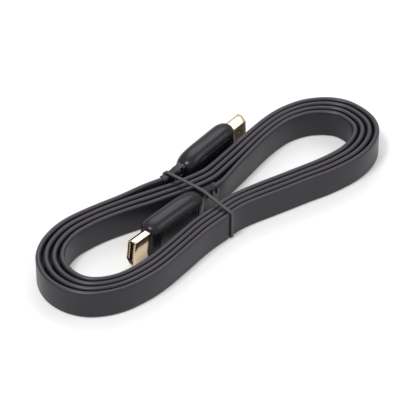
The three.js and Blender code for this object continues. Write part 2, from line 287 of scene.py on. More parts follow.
class Bench:
    """The node tree of one material, with a method for each kind of work on it."""

    def __init__(self, name: str) -> None:
        """Start a material of that name."""
        self.material = bpy.data.materials.new(name)
        self.material.use_nodes = True
        self.tree = self.material.node_tree
        self.tree.nodes.clear()

    def node(self, kind: str, settings: dict[str, Any] | None = None,
             inputs: dict[Any, Any] | None = None, output: int | str = 0) -> Wire:
        """Add a node.

        Args:
            kind: the node's type.
            settings: its own properties, set first.
            inputs: values or wires for its inputs, by name or number.
            output: which output to return.

        Returns:
            The chosen output as a wire.
        """
        made = self.tree.nodes.new(kind)
        for key, value in (settings or {}).items():
            setattr(made, key, value)
        for key, value in (inputs or {}).items():
            if isinstance(value, Wire):
                self.tree.links.new(value.socket, made.inputs[key])
            else:
                made.inputs[key].default_value = value
        return Wire(self, made.outputs[output])

    def place(self) -> Wire:
        """Return object coordinates."""
        return self.node("ShaderNodeTexCoord", output="Object")

    def surface_place(self, scale: Sequence[float] = (1, 1, 1)) -> Wire:
        """Return the piece's own map, scaled along and across."""
        where = self.node("ShaderNodeUVMap", {"uv_map": "UVMap"})
        return self.node("ShaderNodeMapping", inputs={"Vector": where, "Scale": scale})

    def across(self) -> Wire:
        """Return the distance across a band from its middle, by its own map."""
        return self.node("ShaderNodeSeparateXYZ", inputs={"Vector": self.surface_place()},
                         output="Y")

    def noise(self, where: Wire, scale: float, detail: float = 2.0) -> Wire:
        """Return soft noise between 0 and 1 at a place."""
        return self.node("ShaderNodeTexNoise", inputs={
            "Vector": where, "Scale": scale, "Detail": detail})

    def mix(self, factor: Wire, first: Wire | Colour, second: Wire | Colour) -> Wire:
        """Return a colour between two, by a factor."""
        return self.node("ShaderNodeMix", {"data_type": "RGBA"},
                         {"Factor": factor, 6: first, 7: second}, 2)

    def bump(self, height: Wire, distance: float, strength: float = 1.0) -> Wire:
        """Return a normal from a height, whose full step is a distance."""
        return self.node("ShaderNodeBump", inputs={
            "Height": height, "Distance": distance, "Strength": strength})

    def end(self, **sockets: Any) -> bpy.types.Material:
        """End in one Principled shader; an underscore in a name stands for a space.

        Returns:
            The material.
        """
        named = {key.replace("_", " "): value for key, value in sockets.items()}
        shader = self.node("ShaderNodeBsdfPrincipled", inputs=named)
        result = self.tree.nodes.new("ShaderNodeOutputMaterial")
        self.tree.links.new(shader.socket, result.inputs["Surface"])
        return self.material


@dataclass(frozen=True)
class JacketFinish:
    """Satin black jacket of the flat cable, drawn lengthwise, a little polished on its edges,
    which also get a lighter colour as a painted highlight.
    """

    name: str = "jacket_satin_black"
    dark: Colour = (0.0100, 0.0092, 0.0112, 1.0)
    light: Colour = (0.0215, 0.0198, 0.0232, 1.0)
    # Lighter colour for the band's narrow edges: a painted highlight.
    wear_and_highlight: Colour = (0.0330, 0.0310, 0.0375, 1.0)
    sheen: Colour = (0.96, 0.91, 1.0, 1.0)
    roughness: float = 0.38
    half_width: float = 6.75 * MM

    def build(self) -> bpy.types.Material:
        """Return the material."""
        bench = Bench(self.name)
        along = bench.surface_place((60, 1500, 1))
        streaks = bench.noise(along, 1.0, 3.0)
        cloud = bench.noise(bench.place(), 55.0, 4.0)
        grain = bench.noise(bench.place(), 5200.0, 2.0)
        # Mask of the band's narrow edges: it lowers roughness there and mixes in the lighter edge
        # colour, which is a painted highlight.
        edge = abs(bench.across()).between(self.half_width * 0.88, self.half_width * 0.99)
        tone = 0.6 * cloud + 0.4 * streaks
        rough = self.roughness + 0.16 * (cloud - 0.5) + 0.07 * (streaks - 0.5) - 0.05 * edge
        height = 0.55 * streaks + 0.45 * grain
        face = bench.mix(tone, self.dark, self.light)
        return bench.end(
            Base_Color=bench.mix(0.8 * edge, face, self.wear_and_highlight), Roughness=rough,
            IOR=1.5, Specular_IOR_Level=0.37, Specular_Tint=self.sheen,
            Normal=bench.bump(height, 0.02 * MM, 0.55))


@dataclass(frozen=True)
class MouldingFinish:
    """Smooth black plastic of a grip, with a fine orange-peel skin."""

    name: str = "moulding_smooth_black"
    dark: Colour = (0.0055, 0.0052, 0.0062, 1.0)
    light: Colour = (0.0105, 0.0098, 0.0116, 1.0)
    sheen: Colour = (0.96, 0.90, 1.0, 1.0)
    roughness: float = 0.27

    def build(self) -> bpy.types.Material:
        """Return the material."""
        bench = Bench(self.name)
        cloud = bench.noise(bench.place(), 120.0, 3.0)
        skin = bench.noise(bench.place(), 2600.0, 3.0)
        rough = self.roughness + 0.10 * (cloud - 0.5) + 0.05 * (skin - 0.5)
        return bench.end(
            Base_Color=bench.mix(cloud, self.dark, self.light), Roughness=rough,
            IOR=1.5, Specular_IOR_Level=0.32, Specular_Tint=self.sheen,
            Normal=bench.bump(skin, 0.02 * MM, 0.3))


@dataclass(frozen=True)
class PlateFinish:
    """Pale gold plate on sheet metal, faintly brushed along the shell."""

    name: str = "shell_pale_gold"
    deep: Colour = (0.84, 0.64, 0.40, 1.0)
    pale: Colour = (0.93, 0.77, 0.55, 1.0)
    roughness: float = 0.11

    def build(self) -> bpy.types.Material:
        """Return the material."""
        bench = Bench(self.name)
        brushed = bench.noise(bench.surface_place((250, 6000, 1)), 1.0, 2.0)
        cloud = bench.noise(bench.place(), 300.0, 3.0)
        rough = self.roughness + 0.06 * (brushed - 0.5) + 0.06 * (cloud - 0.5)
        return bench.end(
            Base_Color=bench.mix(cloud, self.deep, self.pale), Metallic=1.0, Roughness=rough,
            Normal=bench.bump(brushed, 0.006 * MM, 0.35))


@dataclass(frozen=True)
class ContactFinish:
    """Gold on the spring contacts, a little worn where the socket's tongue rubs."""

    name: str = "contact_gold"
    deep: Colour = (0.80, 0.56, 0.24, 1.0)
    pale: Colour = (0.95, 0.80, 0.50, 1.0)

    def build(self) -> bpy.types.Material:
        """Return the material."""
        bench = Bench(self.name)
        wear_and_highlight = bench.noise(bench.place(), 900.0, 3.0)
        return bench.end(
            Base_Color=bench.mix(wear_and_highlight, self.deep, self.pale), Metallic=1.0,
            Roughness=0.22 + 0.15 * wear_and_highlight, Normal=bench.bump(wear_and_highlight, 0.01 * MM, 0.3))


@dataclass(frozen=True)
class InsulatorFinish:
    """Matte black insulator inside the shell."""

    name: str = "insert_matte_black"
    dark: Colour = (0.010, 0.010, 0.011, 1.0)
    light: Colour = (0.030, 0.030, 0.032, 1.0)

    def build(self) -> bpy.types.Material:
        """Return the material."""
        bench = Bench(self.name)
        grain = bench.noise(bench.place(), 1800.0, 3.0)
        return bench.end(
            Base_Color=bench.mix(grain, self.dark, self.light), Roughness=0.48 + 0.16 * grain,
            Normal=bench.bump(grain, 0.02 * MM, 0.4))


@dataclass(frozen=True)
class TieFinish:
    """Soft black strap of the tie, ribbed lengthwise."""

    name: str = "tie_black"
    dark: Colour = (0.024, 0.023, 0.027, 1.0)
    light: Colour = (0.052, 0.050, 0.058, 1.0)
    ribs: float = 0.30 * MM

    def build(self) -> bpy.types.Material:
        """Return the material."""
        bench = Bench(self.name)
        ribbed = 0.5 + 0.5 * (bench.across() * (2 * math.pi / self.ribs)).sine()
        grain = bench.noise(bench.place(), 2400.0, 3.0)
        return bench.end(
            Base_Color=bench.mix(0.5 * grain + 0.5 * ribbed, self.dark, self.light),
            Roughness=0.42 + 0.12 * grain,
            Normal=bench.bump(0.7 * ribbed + 0.3 * grain, 0.04 * MM, 0.6))


@dataclass(frozen=True)
class FloorFinish:
    """Plain pale studio floor."""

    name: str = "floor_pale"
    colour: Colour = (0.62, 0.62, 0.62, 1.0)
    glow: float = 0.20

    def build(self) -> bpy.types.Material:
        """Return the material."""
        bench = Bench(self.name)
        paper = bench.noise(bench.place(), 300.0, 2.0)
        return bench.end(Base_Color=self.colour, Roughness=0.75 + 0.1 * paper,
                         Emission_Color=(1, 1, 1, 1), Emission_Strength=self.glow)


@dataclass
class Finishes:
    """All the materials of the part, each built once."""

    jacket: bpy.types.Material = field(default_factory=lambda: JacketFinish().build())
    moulding: bpy.types.Material = field(default_factory=lambda: MouldingFinish().build())
    shell: bpy.types.Material = field(default_factory=lambda: PlateFinish().build())
    contact: bpy.types.Material = field(default_factory=lambda: ContactFinish().build())
    insulator: bpy.types.Material = field(default_factory=lambda: InsulatorFinish().build())
    tie: bpy.types.Material = field(default_factory=lambda: TieFinish().build())


def mesh_of(name: str, points: Iterable[Sequence[float]],
            faces: Iterable[Sequence[int]]) -> bpy.types.Mesh:
    """Make a mesh with its faces turned outwards.

    Args:
        name: name of the mesh.
        points: its points.
        faces: its faces, as rows of point numbers.

    Returns:
        The mesh.
    """
    mesh = bpy.data.meshes.new(name)
    mesh.from_pydata([tuple(p) for p in points], [], [tuple(f) for f in faces])
    turn_out(mesh)
    return mesh


def turn_out(mesh: bpy.types.Mesh) -> None:
    """Turn every face of a closed mesh outwards."""
    work = bmesh.new()
    work.from_mesh(mesh)
    bmesh.ops.recalc_face_normals(work, faces=work.faces)
    work.to_mesh(mesh)
    work.free()


def loft(name: str, rings: Sequence[Sequence[Vector]]) -> bpy.types.Mesh:
    """Close a skin through rings that have the same number of points.

    Args:
        name: name of the mesh.
        rings: the rings in order, the first and last of them capped.

    Returns:
        The mesh.
    """
    count = len(rings[0])
    points = [p for ring in rings for p in ring]
    faces: list[tuple[int, ...]] = []
    for r in range(len(rings) - 1):
        for i in range(count):
            a, b = r * count + i, r * count + (i + 1) % count
            faces.append((a, b, b + count, a + count))
    for ring, base in ((rings[0], 0), (rings[-1], (len(rings) - 1) * count)):
        centre = len(points)
        points.append(sum(ring, Vector()) / count)
        faces += [(base + i, base + (i + 1) % count, centre) for i in range(count)]
    return mesh_of(name, points, faces)


def box_mesh(name: str, low: Sequence[float], high: Sequence[float],
             bevel: float) -> bpy.types.Mesh:
    """Make a box with slightly rounded edges.

    Args:
        name: name of the mesh.
        low: its lowest corner.
        high: its highest corner.
        bevel: radius of its edges.

    Returns:
        The mesh.
    """
    work = bmesh.new()
    bmesh.ops.create_cube(work, size=1.0)
    for vert in work.verts:
        vert.co = Vector(
            (low[k] + high[k]) / 2 + vert.co[k] * (high[k] - low[k]) for k in range(3))
    bmesh.ops.bevel(work, geom=list(work.edges), offset=bevel, segments=2, profile=0.5,
                    affect="EDGES")
    mesh = bpy.data.meshes.new(name)
    work.to_mesh(mesh)
    work.free()
    return mesh


def piece_of(name: str, mesh: bpy.types.Mesh, material: bpy.types.Material,
             place: Matrix | None = None, sharp: float | None = None) -> bpy.types.Object:
    """Make a finished piece that rides on the part's one body.

    Args:
        name: name of the piece.
        mesh: its mesh.
        material: what it is made of.
        place: where it goes, put into the mesh.
        sharp: angle in degrees from which an edge is kept crisp.

    Returns:
        The piece, at the origin.
    """
    if place is not None:
        mesh.transform(place)
    mesh.materials.clear()
    mesh.materials.append(material)
    mesh.shade_smooth()
    if sharp is not None:
        mesh.set_sharp_from_angle(angle=math.radians(sharp))
    piece = bpy.data.objects.new(name, mesh)
    bpy.context.scene.collection.objects.link(piece)
    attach(piece, "root")
    LOG.info("%s: %d faces", name, len(mesh.polygons))
    return piece


def line_mesh(points: Sequence[Vector], across: Sequence[Vector],
              closed: bool) -> bpy.types.Mesh:
    """Make the line that a band follows.

    Args:
        points: the line's points.
        across: the direction of the band's width at each point.
        closed: whether the line is a loop.

    Returns:
        A mesh of edges with the attribute "across" on its points.
    """
    mesh = bpy.data.meshes.new("line")
    edges = [(i, i + 1) for i in range(len(points) - 1)]
    if closed:
        edges.append((len(points) - 1, 0))
    mesh.from_pydata([tuple(p) for p in points], edges, [])
    store = mesh.attributes.new("across", "FLOAT_VECTOR", "POINT")
    for row, value in zip(store.data, across):
        row.vector = value
    return mesh


def map_band(mesh: bpy.types.Mesh, points: Sequence[Vector], across: Sequence[Vector]) -> None:
    """Give a band its map: distance along the line, and height across the band.

    Args:
        mesh: the swept band, whose points come ring by ring.
        points: the line that it follows.
        across: the direction of its width at each point.
    """
    around = len(mesh.vertices) // len(points)
    lengths = [0.0]
    for before, after in zip(points, points[1:]):
        lengths.append(lengths[-1] + (after - before).length)
    layer = mesh.uv_layers.new(name="UVMap")
    for loop in mesh.loops:
        ring = min(loop.vertex_index // around, len(points) - 1)
        height = (mesh.vertices[loop.vertex_index].co - points[ring]).dot(across[ring])
        layer.data[loop.index].uv = (lengths[ring], height)


@dataclass
class PlugPlace:
    """Where a plug lies: the back end of its grip, its heading and lean, and its relief's bend."""

    letter: Letter
    x: float
    y: float
    heading: float
    lean: float
    bend: float
    droop: float


@dataclass
class PlugShape:
    """Sizes that both plugs share; x runs forward to the tip of the shell, z across its width."""

    grip_length: float = 32 * MM
    grip_high: float = 18.6 * MM
    grip_thick: float = 9.5 * MM
    grip_arch: tuple[float, float] = (4.4 * MM, 3.1 * MM)
    front_high: tuple[float, float] = (6.8 * MM, 1.75 * MM)
    front_side: tuple[float, float] = (4.3 * MM, 2.3 * MM)
    rear_high: tuple[float, float] = (12.6 * MM, 3.2 * MM)
    rear_side: tuple[float, float] = (5.8 * MM, 1.9 * MM)
    panel_half: float = 6.3 * MM
    panel_corner: float = 3.0 * MM
    panel_from: float = -27.2 * MM
    panel_to: float = -3.4 * MM
    panel_groove: float = 0.5 * MM
    panel_deep: float = 0.35 * MM
    panel_recess: float = 0.05 * MM
    panel_wall: float = 0.16 * MM
    panel_lip: float = 0.2 * MM
    relief_length: float = 11.4 * MM
    relief_high: float = 13.9 * MM
    relief_thick: float = 4.6 * MM
    relief_taper: float = 0.1
    relief_corner: tuple[float, float] = (1.1 * MM, 1.1 * MM)
    relief_tip: tuple[float, float] = (0.5 * MM, 0.35 * MM)
    relief_overlap: float = 0.12 * MM
    notches: int = 3
    notch_first: float = 2.1715 * MM
    notch_pitch: float = 3.13 * MM
    notch_slant: float = 0.25
    notch_wide: float = 1.15 * MM
    notch_wall: float = 0.18 * MM
    notch_deep: float = 0.72 * MM
    notch_high: float = 3.6 * MM
    notch_fade: float = 0.6 * MM
    shell_wide: float = 13.9 * MM
    shell_chamfer: float = 1.95 * MM
    shell_deep: float = 4.45 * MM
    shell_side: float = 2.48 * MM
    shell_out: float = 8.9 * MM
    shell_wall: float = 0.35 * MM
    shell_bend: float = 0.45 * MM
    shell_edge: float = 0.09 * MM
    hole_high: tuple[float, float] = (1.65 * MM, 3.0 * MM)
    hole_along: tuple[float, float] = (2.9 * MM, 5.0 * MM)
    insulator_front: float = 8.5 * MM
    insulator_clear: float = 0.06 * MM
    insulator_bend: float = 0.3 * MM
    slot_deep: float = 6.3 * MM
    slot_wide: float = 10.7 * MM
    slot_y: float = 0.02 * MM
    slot_half: float = 0.74 * MM
    tooth_wide: float = 0.5 * MM
    tooth_high: float = 0.8 * MM
    pitch: float = 1.0 * MM
    contact_wide: float = 0.42 * MM
    contact_thick: float = 0.25 * MM
    contact_tip: float = 0.6 * MM


class PlugAssembly:
    """One plug: grip with its strain relief, metal shell, insulator and two rows of contacts."""

    def __init__(self, place: PlugPlace, shape: PlugShape, finishes: Finishes) -> None:
        """Set the plug's place, sizes and finishes."""
        self.where = place
        self.shape = shape
        self.finishes = finishes
        self.tag = f"plug_{place.letter.value}"
        self.matrix = self._matrix()
        self.pieces: list[bpy.types.Object] = []

    def _matrix(self) -> Matrix:
        """Return where the plug's own frame lies in the part."""
        shape, where = self.shape, self.where
        heading, lean = math.radians(where.heading), math.radians(where.lean)
        side, arch = shape.grip_arch
        high = ((shape.grip_thick / 2 - side) * math.sin(abs(lean))
                + (shape.grip_high / 2 - arch) * math.cos(lean)
                + math.hypot(side * math.sin(lean), arch * math.cos(lean)))
        front = Vector((where.x + shape.grip_length * math.cos(heading),
                        where.y + shape.grip_length * math.sin(heading), high))
        return (Matrix.Translation(front + PART_SHIFT) @ Matrix.Rotation(heading, 4, "Z")
                @ Matrix.Rotation(lean, 4, "X"))

    def relief_frame(self, behind: float) -> Matrix:
        """Return the frame of the strain relief's section at a distance behind the grip."""
        shape, where = self.shape, self.where
        share = behind / shape.relief_length
        bend = math.radians(where.bend)
        radius = shape.relief_length / bend
        turn = bend * share
        drop = where.droop * share * share * (3 - 2 * share)
        at = Vector((-shape.grip_length - radius * math.sin(turn),
                     -radius * (1 - math.cos(turn)), -drop))
        return Matrix.Translation(at) @ Matrix.Rotation(turn, 4, "Z")

    def cable_end(self) -> tuple[Vector, Vector, Vector]:
        """Tell where the cable leaves the strain relief.

        Returns:
            The point, the direction away from the plug, and the direction of the cable's width.
        """
        end = self.matrix @ self.relief_frame(self.shape.relief_length)
        turn = end.to_3x3()
        return end.translation, -(turn @ Vector((1, 0, 0))), turn @ Vector((0, 0, 1))

    def _ring(self, half_thick: float, half_high: float,
              corner: tuple[float, float]) -> list[Vector]:
        """Return a rectangle with round or arched corners, its wide sides finely divided."""
        side, arch = min(corner[0], half_thick * 0.95), min(corner[1], half_high * 0.95)
        steps, flat_steps = 12, (4, 72)
        bends: list[list[Vector]] = []
        for q, (sy, sz) in enumerate(((1, 1), (-1, 1), (-1, -1), (1, -1))):
            turns = [(q + i / steps) * math.pi / 2 for i in range(steps + 1)]
            bends.append([Vector((0, sy * (half_thick - side) + side * math.cos(turn),
                                  sz * (half_high - arch) + arch * math.sin(turn)))
                          for turn in turns])
        ring: list[Vector] = []
        for q, bend in enumerate(bends):
            stop, count = bends[(q + 1) % 4][0], flat_steps[q % 2]
            ring += bend + [bend[-1].lerp(stop, i / count) for i in range(1, count)]
        return ring

    def _panel_depth(self, x: float, z: float) -> float:
        """Tell how deep the long round-cornered panel on a wide side is pressed at a place."""
        shape = self.shape
        middle = (shape.panel_from + shape.panel_to) / 2
        over_x = abs(x - middle) - (shape.panel_to - shape.panel_from) / 2 + shape.panel_corner
        over_z = abs(z) - shape.panel_half + shape.panel_corner
        off = (math.hypot(max(over_x, 0.0), max(over_z, 0.0)) + min(max(over_x, over_z), 0.0)
               - shape.panel_corner)
        edge = eased(-off / shape.panel_wall)
        floor = eased((-off - shape.panel_groove) / shape.panel_lip)
        return edge * (shape.panel_deep + (shape.panel_recess - shape.panel_deep) * floor)

    def _notch_depth(self, behind: float, z: float) -> float:
        """Tell how deep the slanting notches in the relief's upper and lower edges are."""
        shape = self.shape
        below = shape.relief_high / 2 - abs(z)
        reach = eased((shape.notch_high - below) / shape.notch_fade)
        for number in range(shape.notches):
            middle = shape.notch_first + number * shape.notch_pitch + shape.notch_slant * below
            off = abs(behind - middle) - shape.notch_wide / 2 - shape.notch_wall
            if off < 0:
                return shape.notch_deep * reach * eased(-off / (shape.notch_wall * 4 / 3))
        return 0.0

    def grip(self) -> bpy.types.Object:
        """Make the moulded grip with its strain relief, one skin from the cable forward."""
        shape = self.shape
        rings: list[list[Vector]] = []
        relief_rings, grip_rings, end_rings, end_step = 96, 110, 9, 0.05 * MM
        reach = shape.relief_length - shape.relief_overlap
        for i in range(relief_rings + 1):
            behind = shape.relief_overlap + reach * (1 - i / relief_rings)
            shrink = 1 - shape.relief_taper * behind / shape.relief_length
            tip = round_off(shape.relief_length - behind, *shape.relief_tip)
            half = shape.relief_thick / 2 * shrink - tip
            ring = self._ring(half, shape.relief_high / 2 - tip, shape.relief_corner)
            for p in ring:
                side = half - self._notch_depth(behind, p.z)
                p.y = math.copysign(min(abs(p.y), side), p.y)
            frame_here = self.relief_frame(behind)
            rings.append([frame_here @ p for p in ring])
        length = shape.grip_length
        stops = sorted({*(length * eased(i / grip_rings) for i in range(grip_rings + 1)),
                        *(end_step * i for i in range(end_rings)),
                        *(length - end_step * i for i in range(end_rings))})
        for at in stops:
            x = at - length
            high = (shape.grip_high / 2 - round_off(-x, *shape.front_high)
                    - round_off(at, *shape.rear_high))
            thick = (shape.grip_thick / 2 - round_off(-x, *shape.front_side)
                     - round_off(at, *shape.rear_side))
            ring = self._ring(thick, high, shape.grip_arch)
            for p in ring:
                p.x = x
                if abs(p.z) < shape.panel_half + 0.2 * MM:
                    p.y -= math.copysign(self._panel_depth(x, p.z), p.y)
            rings.append(ring)
        piece = piece_of(f"{self.tag}_grip_moulding", loft("grip", rings),
                         self.finishes.moulding, self.matrix, 50)
        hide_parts(f"{self.tag}_grip")
        return piece

    def _outline(self, inset: float, radius: float) -> list[tuple[float, float]]:
        """Return the shell's outline in y and z, pulled in, its bends rounded."""
        shape = self.shape
        wide = shape.shell_wide / 2 - inset
        narrow = shape.shell_wide / 2 - shape.shell_chamfer - inset * 0.5
        back = shape.shell_deep / 2 - inset
        bend = shape.shell_deep / 2 - shape.shell_side
        corners = [Vector(c) for c in (
            (back, -wide), (back, wide), (bend, wide), (-back, narrow), (-back, -narrow),
            (bend, -wide))]
        outline: list[tuple[float, float]] = []
        for i, corner in enumerate(corners):
            before = (corners[i - 1] - corner).normalized()
            after = (corners[(i + 1) % len(corners)] - corner).normalized()
            half = before.angle(after) / 2
            reach = radius / math.tan(half)
            centre = corner + (before + after).normalized() * (radius / math.sin(half))
            first = corner + before * reach - centre
            last = corner + after * reach - centre
            sweep = first.angle_signed(last)
            for k in range(6):
                outline.append(tuple(centre + Matrix.Rotation(-sweep * k / 5, 2) @ first))
        return outline

    def shell(self) -> bpy.types.Object:
        """Make the metal shell from bent sheet, with two latch windows in its narrow side."""
        shape = self.shape
        outline = self._outline(0.0, shape.shell_bend)
        marks = [s * z for s in (-1, 1) for z in shape.hole_high]
        back = -shape.shell_deep / 2
        full: list[tuple[float, float]] = []
        for i, (y, z) in enumerate(outline):
            full.append((y, z))
            next_y, next_z = outline[(i + 1) % len(outline)]
            if abs(y - back) < 1e-6 and abs(next_y - back) < 1e-6:
                full += [(back, m) for m in sorted(marks, reverse=z > next_z)]
        stations = [-0.4 * MM, 0.6 * MM, shape.hole_along[0], shape.hole_along[1],
                    7.0 * MM, shape.shell_out]
        count = len(full)
        points = [Vector((x, y, z)) for x in stations for y, z in full]
        faces: list[tuple[int, ...]] = []
        for r in range(len(stations) - 1):
            for i in range(count):
                j = (i + 1) % count
                middle = (full[i][1] + full[j][1]) / 2
                window = (r == 2 and abs(full[i][0] - back) < 1e-6
                          and abs(full[j][0] - back) < 1e-6
                          and shape.hole_high[0] < abs(middle) < shape.hole_high[1])
                if not window:
                    faces.append((r * count + i, r * count + j, (r + 1) * count + j,
                                  (r + 1) * count + i))
        mesh = bpy.data.meshes.new("shell")
        mesh.from_pydata([tuple(p) for p in points], [], faces)
        layer = mesh.uv_layers.new(name="UVMap")
        for loop in mesh.loops:
            co = mesh.vertices[loop.vertex_index].co
            layer.data[loop.index].uv = (co.x, co.z + co.y)
        carrier = bpy.data.objects.new("shell", mesh)
        bpy.context.scene.collection.objects.link(carrier)
        wall = carrier.modifiers.new("wall", "SOLIDIFY")
        wall.thickness = shape.shell_wall
        wall.offset = -1.0
        wall.use_even_offset = True
        edge = carrier.modifiers.new("edge", "BEVEL")
        edge.width = shape.shell_edge
        edge.segments = 2
        edge.limit_method = "ANGLE"
        edge.angle_limit = math.radians(50)
        seen = carrier.evaluated_get(bpy.context.evaluated_depsgraph_get())
        plain = bpy.data.meshes.new_from_object(seen)
        bpy.data.objects.remove(carrier)
        turn_out(plain)
        piece = piece_of(f"{self.tag}_sheet_shell", plain, self.finishes.shell,
                         self.matrix, 40)
        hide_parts(f"{self.tag}_shell")
        return piece

    def insulator(self) -> bpy.types.Object:
        """Make the insulator: a block that fills the shell, open in front for the tongue."""
        shape = self.shape
        outline = self._outline(shape.shell_wall + shape.insulator_clear, shape.insulator_bend)
        front, deep = shape.insulator_front, shape.slot_deep
        half = shape.slot_half + shape.tooth_high
        hole = [(shape.slot_y + sy * half, sz * shape.slot_wide / 2)
                for sy, sz in ((1, -1), (1, 1), (-1, 1), (-1, -1))]
        count = len(outline)
        points = [Vector((x, y, z)) for x in (0.1 * MM, front) for y, z in outline]
        points += [Vector((x, y, z)) for x in (front, front - deep) for y, z in hole]
        work = bmesh.new()
        verts = [work.verts.new(p) for p in points]
        for i in range(count):
            j = (i + 1) % count
            work.faces.new([verts[i], verts[j], verts[count + j], verts[count + i]])
        work.faces.new(verts[:count])
        base = 2 * count
        for i in range(4):
            j = (i + 1) % 4
            work.faces.new([verts[base + i], verts[base + j], verts[base + 4 + j],
                            verts[base + 4 + i]])
        work.faces.new(verts[base + 4:base + 8])
        rims = [e for e in work.edges if e.is_boundary]
        bmesh.ops.triangle_fill(work, edges=rims, use_beauty=True)
        bmesh.ops.recalc_face_normals(work, faces=work.faces)
        mesh = bpy.data.meshes.new("insulator")
        work.to_mesh(mesh)
        work.free()
        piece = piece_of(f"{self.tag}_insulator", mesh, self.finishes.insulator,
                         self.matrix, 30)
        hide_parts(f"{self.tag}_insert")
        return piece

    def _row(self, kind: Row) -> tuple[int, list[str]]:
        """Tell how many contacts a row has, and the names of their solids."""
        count = 10 if kind is Row.WIDE else 9
        first = 1 if kind is Row.WIDE else 11
        return count, [f"{self.tag}_contact_{first + i:02d}" for i in range(count)]

    def teeth(self, kind: Row, recipe: GeometryRecipe) -> bpy.types.Object:
        """Make the row of insulator teeth between the contacts of a row."""
        shape = self.shape
        count, _ = self._row(kind)
        inner = shape.slot_y + kind.value * shape.slot_half
        outer = inner + kind.value * (shape.tooth_high + 0.05 * MM)
        tooth = box_mesh("tooth", (2.2 * MM, min(inner, outer), -shape.tooth_wide / 2),
                         (shape.insulator_front - 0.05 * MM, max(inner, outer),
                          shape.tooth_wide / 2), 0.05 * MM)
        row = recipe.made_from(tooth, self.finishes.insulator,
                               {"Count": count + 1, "Pitch": shape.pitch})
        return piece_of(f"{self.tag}_teeth_{kind.name.lower()}", row, self.finishes.insulator,
                        self.matrix, 40)

    def contacts(self, kind: Row, recipe: GeometryRecipe) -> bpy.types.Object:
        """Make a row of spring contacts, each bowed towards the tongue with a turned-back tip."""
        shape = self.shape
        count, nodes = self._row(kind)
        seat = shape.slot_y + kind.value * (shape.slot_half + shape.tooth_high * 0.55)
        bow = shape.slot_y + kind.value * (shape.slot_half - 0.12 * MM)
        tip = shape.insulator_front - 0.04 * MM
        thin, tall = shape.contact_thick, shape.contact_tip
        line = [(2.3 * MM, 0.0, thin), (4.2 * MM, 0.15, thin), (5.6 * MM, 0.8, thin),
                (6.3 * MM, 1.0, thin), (7.0 * MM, 0.8, thin), (7.6 * MM, 0.2, thin),
                (8.0 * MM, 0.0, tall), (tip, 0.0, tall)]
        rings = []
        for x, share, thick in line:
            y = seat + (bow - seat) * share
            rings.append([Vector((x, y + sy * thick / 2,
                                  sz * shape.contact_wide / 2))
                          for sy, sz in ((1, 1), (-1, 1), (-1, -1), (1, -1))])
        row = recipe.made_from(loft("contact", rings), self.finishes.contact,
                               {"Count": count, "Pitch": shape.pitch})
        piece = piece_of(f"{self.tag}_contacts_{kind.name.lower()}", row,
                         self.finishes.contact, self.matrix, 60)
        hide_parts(*nodes)
        return piece

    def build(self, rows: GeometryRecipe) -> list[bpy.types.Object]:
        """Make every piece of the plug.

        Args:
            rows: the recipe that repeats a small piece in a row.

        Returns:
            The plug's pieces.
        """
        self.pieces = [self.grip(), self.shell(), self.insulator()]
        for kind in Row:
            self.pieces += [self.teeth(kind, rows), self.contacts(kind, rows)]
        return self.pieces


@dataclass
class TieLoop:
    """The tie: a thin strap round the waist of the hank in an upright plane."""

    width: float = 1.5 * MM
    thick: float = 0.8 * MM
    corner: float = 0.3 * MM
    angle: float = 109.0
    offset: float = -5.667 * MM
    gap: float = 0.06 * MM
    corners: tuple[tuple[float, float], ...] = (
        (-16.332 * MM, 1.25 * MM), (21.225 * MM, 1.25 * MM), (21.225 * MM, 13.985 * MM),
        (20.125 * MM, 15.085 * MM), (3.731 * MM, 16.499 * MM), (-1.145 * MM, 16.499 * MM),
        (-16.332 * MM, 13.5 * MM))

    def along(self) -> Vector:
        """Return the direction from the front of the hank to its back in the tie's plane."""
        turn = math.radians(self.angle)
        return Vector((math.cos(turn), math.sin(turn), 0))

    def across(self) -> Vector:
        """Return the direction across the tie's plane."""
        along = self.along()
        return Vector((along.y, -along.x, 0))

    def distance(self, point: Vector) -> float:
        """Tell how far a point is from the tie's plane."""
        return abs(point.dot(self.across()) - self.offset)

    def loop(self) -> list[Vector]:
        """Return the strap's middle line, round the outside of what it holds."""
        reach = self.gap + self.thick / 2
        flat: list[Vector] = []
        corners = [Vector(c) for c in self.corners]
        for i, corner in enumerate(corners):
            before, after = corners[i - 1], corners[(i + 1) % len(corners)]
            first = math.atan2(corner.y - before.y, corner.x - before.x) - math.pi / 2
            second = math.atan2(after.y - corner.y, after.x - corner.x) - math.pi / 2
            while second < first:
                second += 2 * math.pi
            steps = max(2, round((second - first) / 0.18))
            for k in range(steps + 1):
                turn = first + (second - first) * k / steps
                flat.append(corner + reach * Vector((math.cos(turn), math.sin(turn))))
        along, across = self.along(), self.across()
        return [along * p.x + across * self.offset + Vector((0, 0, p.y)) for p in flat]

    def build(self, bands: GeometryRecipe, finishes: Finishes) -> bpy.types.Object:
        """Make the strap.

        Args:
            bands: the recipe of a flat band along a line.
            finishes: the part's materials.

        Returns:
            The piece.
        """
        points = self.loop()
        across = [self.across()] * len(points)
        mesh = bands.made_from(line_mesh(points, across, True), finishes.tie, {
            "Width": self.width, "Thickness": self.thick, "Corner": self.corner,
            "Corner Steps": 3})
        map_band(mesh, points, across)
        turn_out(mesh)
        piece = piece_of("tie_strap", mesh, finishes.tie)
        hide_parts("tie")
        return piece


